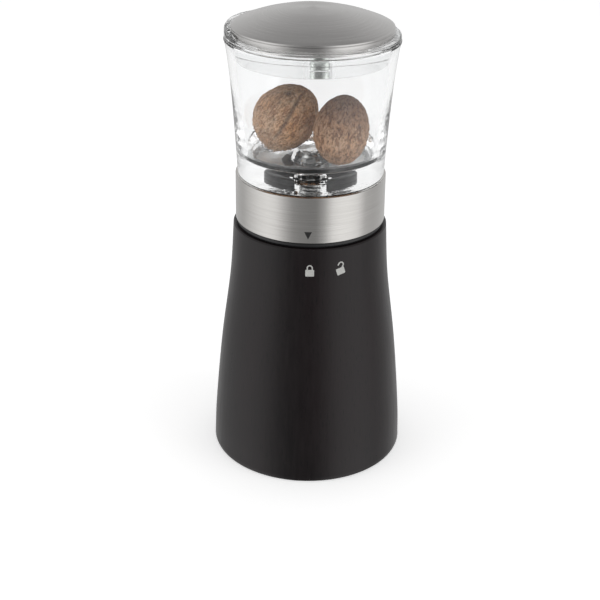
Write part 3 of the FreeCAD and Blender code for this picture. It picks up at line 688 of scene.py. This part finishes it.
def makeNutmeg(name, s, skin, material, node):
    bm = bmesh.new()
    bmesh.ops.create_icosphere(bm, subdivisions=skin["subdivisions"], radius=1.0)
    groove = bm.verts.layers.float.new("groove")
    seed = bm.verts.layers.float_vector.new("seed")
    offset = Vector((s["seed"], -s["seed"], 2 * s["seed"]))
    scarTurn, scarHeight, darkness = s["scar"]
    scar = Vector((math.sqrt(1 - scarHeight ** 2), 0, scarHeight))
    scar.rotate(Matrix.Rotation(math.radians(scarTurn), 3, "Z"))
    for vert in bm.verts:
        d = vert.co.copy()
        mid = 1 - d.z ** 2  # 1 at the middle, 0 at both ends
        fat = 1.0 - skin["taper"] * d.z + skin["belly"] * mid
        sway = noise.noise(drawnOut(d, 1.0, skin["swayAlong"]) * skin["swayScale"] + offset) * skin["sway"]
        long = drawnOut(d, skin["ridgeScale"], skin["ridgeAlong"]) + offset
        bend = noise.noise_vector(long * skin["bendScale"]) * skin["bend"]
        ridges = 1 - abs(noise.noise(long + bend)) * skin["ridgeEdge"]
        fine = drawnOut(d, skin["netScale"], skin["netAlong"]) + bend * skin["netBend"] - offset
        net = 1 - abs(noise.noise(fine)) * skin["netEdge"]
        pits = noise.noise(d * skin["pitScale"] + offset)
        away = abs(math.atan2(d.y, d.x) - math.radians(s["furrow"][0]) + skin["furrowLean"] * d.z)
        furrow = s["furrow"][1] * math.exp(-(away / skin["furrowWidth"]) ** 2) * mid
        mark = darkness * math.exp(-((d - scar).length / skin["scarWidth"]) ** 2)
        depth = max(0.0, ridges) ** 3 * skin["ridge"] + max(0.0, net) ** 2 * skin["net"]
        drop = s["relief"] * mm * (skin["groove"] * depth + skin["pit"] * pits + furrow)
        # painted shade in the deeper grooves and the furrow, with the scar's own dark mark added
        shadeAndScar = max(0.0, depth * skin["shadeAndScar"] - skin["grooveShadeFrom"]) + skin["furrowShade"] * furrow + mark
        vert[groove] = min(skin["shadeAndScarMost"], shadeAndScar)
        shape = Vector((d.x * s["radius"] * fat, d.y * s["radius"] * fat, d.z * s["half"]))
        shape = shape * (skin["size"] + sway)
        vert[seed] = shape
        vert.co = shape * mm - d * drop
    across = math.radians(s["direction"])
    lean = Matrix.Rotation(math.radians(s["lean"]), 4, (-math.sin(across), math.cos(across), 0))
    place = Matrix.Translation(Vector(s["centre"]) * mm) @ lean
    place = place @ Matrix.Rotation(math.radians(s["spin"]), 4, "Z")
    bmesh.ops.transform(bm, matrix=place, verts=bm.verts)
    finishPiece(name, bm, "hopper", material, (node,), skin["sharpest"])


noise.seed_set(nutSkin["seed"])  # without it the bends in the wrinkles change from run to run
makeNutmeg("nutmegLeft", leftNut, nutSkin, paleShell, "nutmeg_left")
makeNutmeg("nutmegRight", rightNut, nutSkin, greyShell, "nutmeg_right")
print("nutmegs made")


def wrapFlat(bm, radiusAt, turn, middle, tilt=0.0):  # bends a flat XZ sign, in mm, onto the turned surface
    bmesh.ops.rotate(bm, verts=bm.verts, cent=(0, 0, 0), matrix=Matrix.Rotation(math.radians(tilt), 3, "Y"))
    for vert in bm.verts:
        height = middle + vert.co.z
        radius = radiusAt(height) - vert.co.y
        angle = math.radians(turn) + vert.co.x / radiusAt(height)
        vert.co = Vector((radius * math.sin(angle), -radius * math.cos(angle), height)) * mm


def slab(corners, thickness, rounding=0.0):
    bm = bmesh.new()
    face = bm.faces.new([bm.verts.new((x, 0.0, z)) for x, z in corners])
    if rounding:
        rounded(bm, list(face.verts), rounding, affect="VERTICES")
    carry(bm, bmesh.ops.extrude_face_region(bm, geom=bm.faces[:]), (0, -thickness, 0))
    return outward(bm)


arrowShape = {"width": 2.5, "height": 2.6, "middle": 90.1, "thickness": 0.04, "turn": -1.2}


def makeArrow(s):
    half, top = s["width"] / 2, s["height"] / 2
    bm = slab([(-half, top), (0.0, -top), (half, top)], s["thickness"])
    wrapFlat(bm, lambda height: bandShape["radius"], s["turn"], s["middle"])
    finishPiece("pointerArrow", bm, "head", arrowPaint, sharpest=None)


padlock = {"width": 2.9, "height": 2.35, "rounding": 0.25, "thickness": 0.05, "shackle": 0.82, "wire": 0.42,
           "leg": 0.75, "sunk": 0.1, "steps": 14}
closedLock = dict(padlock, turn=0.4, middle=77.2, swing=0.0, tilt=0.0)
openLock = dict(padlock, turn=22.9, middle=77.2, swing=46.0, tilt=-15.0)


def lockBow(s):
    bm = bmesh.new()
    inner, outer = s["shackle"] - s["wire"] / 2, s["shackle"] + s["wire"] / 2
    pair = [bm.verts.new((inner, 0.0, 0.0)), bm.verts.new((outer, 0.0, 0.0))]
    edge = bm.edges.new(pair)
    arch = bmesh.ops.spin(bm, geom=pair + [edge], cent=(0, 0, 0), axis=(0, -1, 0), dvec=(0, 0, 0),
                          angle=math.pi, steps=s["steps"], use_merge=False)
    for leg in ([edge], [e for e in arch["geom_last"] if isinstance(e, bmesh.types.BMEdge)]):
        carry(bm, bmesh.ops.extrude_edge_only(bm, edges=leg), (0, 0, -s["leg"]))
    carry(bm, bmesh.ops.extrude_face_region(bm, geom=bm.faces[:]), (0, -s["thickness"], 0))
    outward(bm)
    bmesh.ops.translate(bm, vec=(0, 0, s["height"] / 2 + s["leg"] - s["sunk"]), verts=bm.verts)
    if s["swing"]:  # the open bow turns out about its right leg
        bmesh.ops.rotate(bm, verts=bm.verts, cent=(s["shackle"], 0.0, s["height"] / 2),
                         matrix=Matrix.Rotation(math.radians(s["swing"]), 3, "Y"))
    return bm


def makePadlock(name, s):
    half, top = s["width"] / 2, s["height"] / 2
    case = slab([(-half, -top), (half, -top), (half, top), (-half, top)], s["thickness"], s["rounding"])
    sign = joinMeshes(case, lockBow(s))
    wrapFlat(sign, woodRadius, s["turn"], s["middle"], s["tilt"])
    finishPiece(name, sign, "body", signPaint, sharpest=None)


makeArrow(arrowShape)
makePadlock("signClosed", closedLock)
makePadlock("signOpen", openLock)
print("signs made")

# The world: round is (degrees, level) and rise is (height, level) of what metal mirrors
roomLook = {"ambient": 0.30, "ambientShare": 0.62, "insideWhite": 0.45, "behind": (0.1, 0.4),
            "round": ((-180, 0.60), (-124, 0.56), (-101, 0.83), (-84, 1.03), (-68, 1.14), (-54, 1.04),
                      (-40, 0.66), (-27, 0.38), (-15, 0.31), (0, 0.28), (10, 0.28), (22, 0.52), (35, 1.06),
                      (48, 1.20), (62, 1.20), (77, 1.08), (94, 0.62), (113, 0.56), (141, 0.62), (180, 0.60)),
            "rise": ((-1.0, 0.97), (-0.3, 0.97), (0.0, 1.12), (0.4, 1.05), (0.62, 0.88), (0.87, 0.60),
                     (1.0, 0.52)),
            "brightest": 1.25, "riseBrightest": 1.15}
paperWhite = (1, 1, 1, 1)


def rampAt(tree, value, stops, low, high, brightest):  # stops: (place, level)
    share = mapped(tree, value, 0.0, 1.0, low, high)
    node = addNode(tree, "ValToRGB", {"Fac": share})
    first, last = node.color_ramp.elements
    first.color, last.color = grey(stops[0][1] / brightest), grey(stops[-1][1] / brightest)
    for place, level in stops[1:-1]:
        node.color_ramp.elements.new((place - low) / (high - low)).color = grey(level / brightest)
    return node.outputs["Color"]


def makeWorld(look):  # white behind everything, even light on matt surfaces, a light tent in metal
    world = bpy.data.worlds.new("studio")
    world.use_nodes = True
    bpy.context.scene.world = world
    tree = world.node_tree
    tree.nodes.clear()
    path = addNode(tree, "LightPath").outputs
    way = addNode(tree, "SeparateXYZ", {0: addNode(tree, "TexCoord").outputs["Generated"]}).outputs

    def glow(strength):
        return addNode(tree, "Background", {"Color": paperWhite, "Strength": strength}).outputs[0]

    def either(factor, first, second):
        return addNode(tree, "MixShader", {0: factor, 1: first, 2: second}).outputs[0]

    turn = calc(tree, "ARCTAN2", way["X"], calc(tree, "MULTIPLY", way["Y"], -1.0))
    degrees = calc(tree, "MULTIPLY", turn, 180.0 / math.pi)
    ringTone = rampAt(tree, degrees, look["round"], -180.0, 180.0, look["brightest"])
    riseTone = rampAt(tree, way["Z"], look["rise"], -1.0, 1.0, look["riseBrightest"])
    tone = calc(tree, "MULTIPLY", ringTone, riseTone)
    strength = calc(tree, "MULTIPLY", tone, look["brightest"] * look["riseBrightest"])

    # Metal inside the clear parts shows the tent, as it does outside
    unmirrored = calc(tree, "LESS_THAN", path["Glossy Depth"], 0.5)
    direct = calc(tree, "LESS_THAN", path["Diffuse Depth"], 0.5)
    behind = calc(tree, "MAXIMUM", mapped(tree, way["Y"], 0.0, 1.0, *look["behind"]), unmirrored)
    through = calc(tree, "MULTIPLY", path["Is Transmission Ray"], behind)
    share = mapped(tree, direct, look["insideWhite"], 1.0, 0.0, 1.0)
    seen = calc(tree, "MAXIMUM", path["Is Camera Ray"], calc(tree, "MULTIPLY", through, share))
    mirrored = calc(tree, "MULTIPLY", path["Is Glossy Ray"], direct)
    even = calc(tree, "MULTIPLY_ADD", strength, look["ambientShare"], look["ambient"])
    lit = either(mirrored, glow(even), glow(strength))
    addNode(tree, "OutputWorld", {"Surface": either(seen, lit, glow(1.0))})


floorLook = {"radius": 3.0, "sides": 96, "tone": 0.80, "lift": 0.42, "rough": 0.9}


def makeFloor(look):
    bm = bmesh.new()
    bmesh.ops.create_circle(bm, cap_ends=True, segments=look["sides"], radius=look["radius"])
    floor = looseObject("floor", bm)
    material, tree, shader = newMaterial("paleFloor")
    path = addNode(tree, "LightPath").outputs
    seen = calc(tree, "MAXIMUM", path["Is Camera Ray"], path["Is Transmission Ray"])
    shader.inputs["Base Color"].default_value = grey(look["tone"])
    shader.inputs["Roughness"].default_value = look["rough"]
    shader.inputs["Specular IOR Level"].default_value = 0.0
    shader.inputs["Emission Color"].default_value = paperWhite
    feed(tree, calc(tree, "MULTIPLY", seen, look["lift"]), shader, "Emission Strength")
    floor.data.materials.append(material)
    floor.visible_glossy = False


# place and size in metres, power in watts
softboxes = {"left": {"place": (-0.62, -0.30, 0.30), "size": (0.45, 0.60), "power": 0.8},
             "right": {"place": (0.62, -0.30, 0.30), "size": (0.45, 0.60), "power": 0.8},
             "overhead": {"place": (0.0, 0.15, 0.85), "size": (0.7, 0.5), "power": 1.2}}
softboxAim = (0.0, 0.0, 0.09)


def makeSoftbox(name, s):
    data = bpy.data.lights.new(name, "AREA")
    data.shape = "RECTANGLE"
    data.size, data.size_y = s["size"]
    data.energy = s["power"]
    lamp = bpy.data.objects.new(name, data)
    bpy.context.scene.collection.objects.link(lamp)
    lamp.location = s["place"]
    lamp.visible_glossy = False
    lamp.rotation_euler = (Vector(softboxAim) - Vector(s["place"])).to_track_quat("-Z", "Y").to_euler()


makeWorld(roomLook)
makeFloor(floorLook)
for side, box in softboxes.items():
    makeSoftbox("softbox" + side.title(), box)
print("room made")
